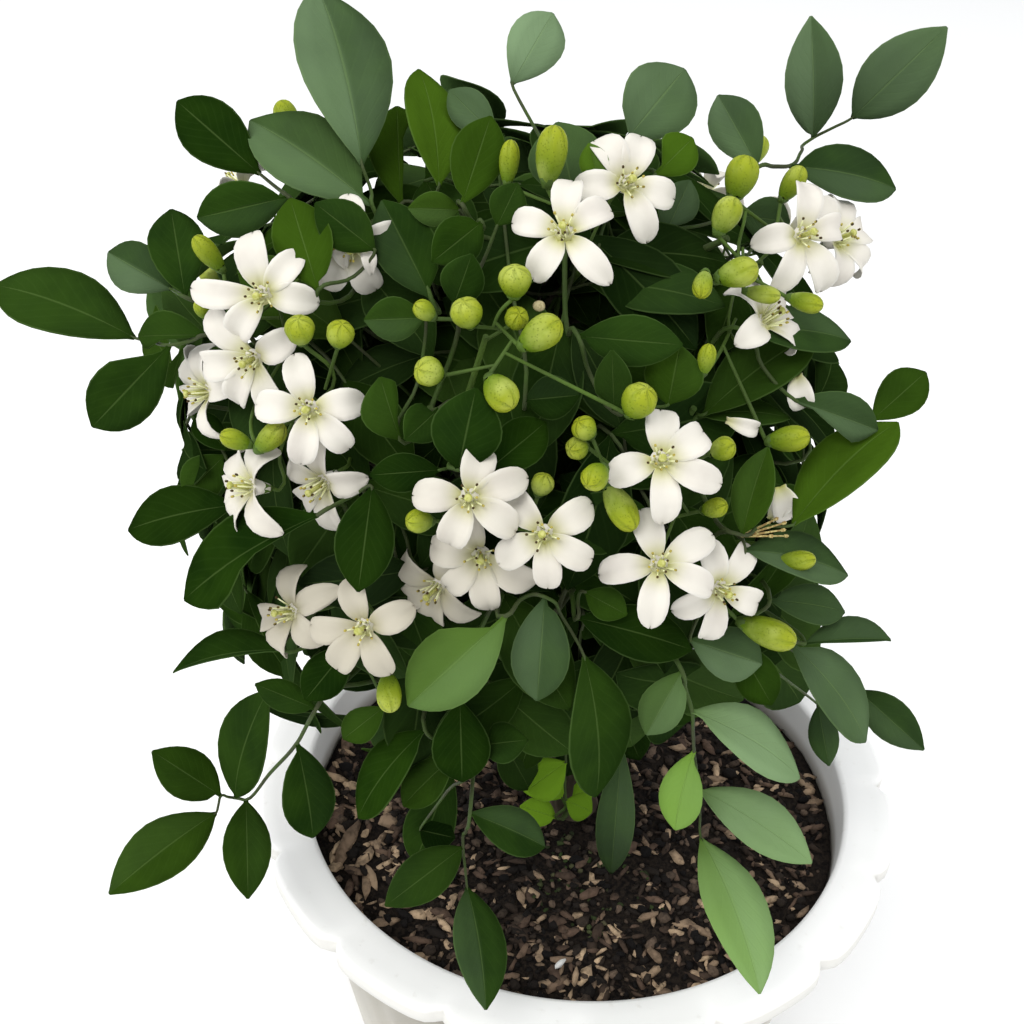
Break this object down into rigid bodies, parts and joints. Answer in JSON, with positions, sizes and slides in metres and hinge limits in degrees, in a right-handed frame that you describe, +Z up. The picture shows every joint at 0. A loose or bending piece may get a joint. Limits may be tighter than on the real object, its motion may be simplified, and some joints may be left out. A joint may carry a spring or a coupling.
{
  "type": "potted orange jasmine bonsai",
  "caption": "Small orange jasmine bush with a forked trunk, glossy compound leaves, open white flowers and green buds, in a round white pot with a scalloped rim.",
  "frame": {"origin": "middle of the pot's flat underside", "axes": "+Z up along the pot's axis, -Y towards the front that the picture shows, +X to its right"},
  "size_m": [0.2711, 0.2379, 0.4316],
  "materials": {
    "pot_white": "smooth satin white",
    "soil_brown": "rough dark potting mix with wood chips",
    "bark": "matt grey-brown bark",
    "leaf_green": "glossy dark green leaf",
    "stalk_green": "satin yellow-green stalks and buds",
    "petal_white": "soft warm white petals"
  },
  "bodies": {
    "root": {"pot": "pot_white", "soil": "soil_brown", "trunk": "bark", "shoot_top_left": "leaf_green", "shoot_left": "leaf_green", "shoot_top_middle": "leaf_green", "shoot_top_right": "leaf_green", "shoot_right": "leaf_green", "shoot_low_right": "leaf_green", "shoot_hanging_right": "leaf_green", "shoot_middle": "leaf_green", "shoot_middle_left": "leaf_green", "shoot_low_left": "leaf_green", "shoot_hanging_middle": "leaf_green", "shoot_middle_right": "leaf_green", "shoot_back_left": "leaf_green", "shoot_back": "leaf_green", "shoot_back_right": "leaf_green", "shoot_back_top": "leaf_green", "shoot_side_left": "leaf_green", "shoot_young": "leaf_green", "head_left": "stalk_green", "head_top": "stalk_green", "head_right": "stalk_green", "head_middle": "stalk_green", "head_inner": "stalk_green", "head_low": "stalk_green", "head_budding": "stalk_green", "head_spent": "stalk_green", "head_far_left": "stalk_green", "head_far_right": "stalk_green", "bloom_left_1": "petal_white", "bloom_left_2": "petal_white", "bloom_left_3": "petal_white", "bloom_left_4": "petal_white", "bloom_left_5": "petal_white", "bloom_left_6": "petal_white", "bloom_left_7": "petal_white", "bloom_top_1": "petal_white", "bloom_top_2": "petal_white", "bloom_right_1": "petal_white", "bloom_right_2": "petal_white", "bloom_right_3": "petal_white", "bloom_middle_1": "petal_white", "bloom_middle_2": "petal_white", "bloom_middle_3": "petal_white", "bloom_middle_4": "petal_white", "bloom_inner_1": "petal_white", "bloom_inner_2": "petal_white", "bloom_inner_3": "petal_white", "bloom_low_1": "petal_white", "bloom_low_2": "petal_white", "bloom_far_left_1": "petal_white", "bloom_far_left_2": "petal_white", "bloom_far_left_3": "petal_white", "bloom_far_right_1": "petal_white", "bloom_far_right_2": "petal_white", "bloom_far_right_3": "petal_white"}
  },
  "joints": []
}
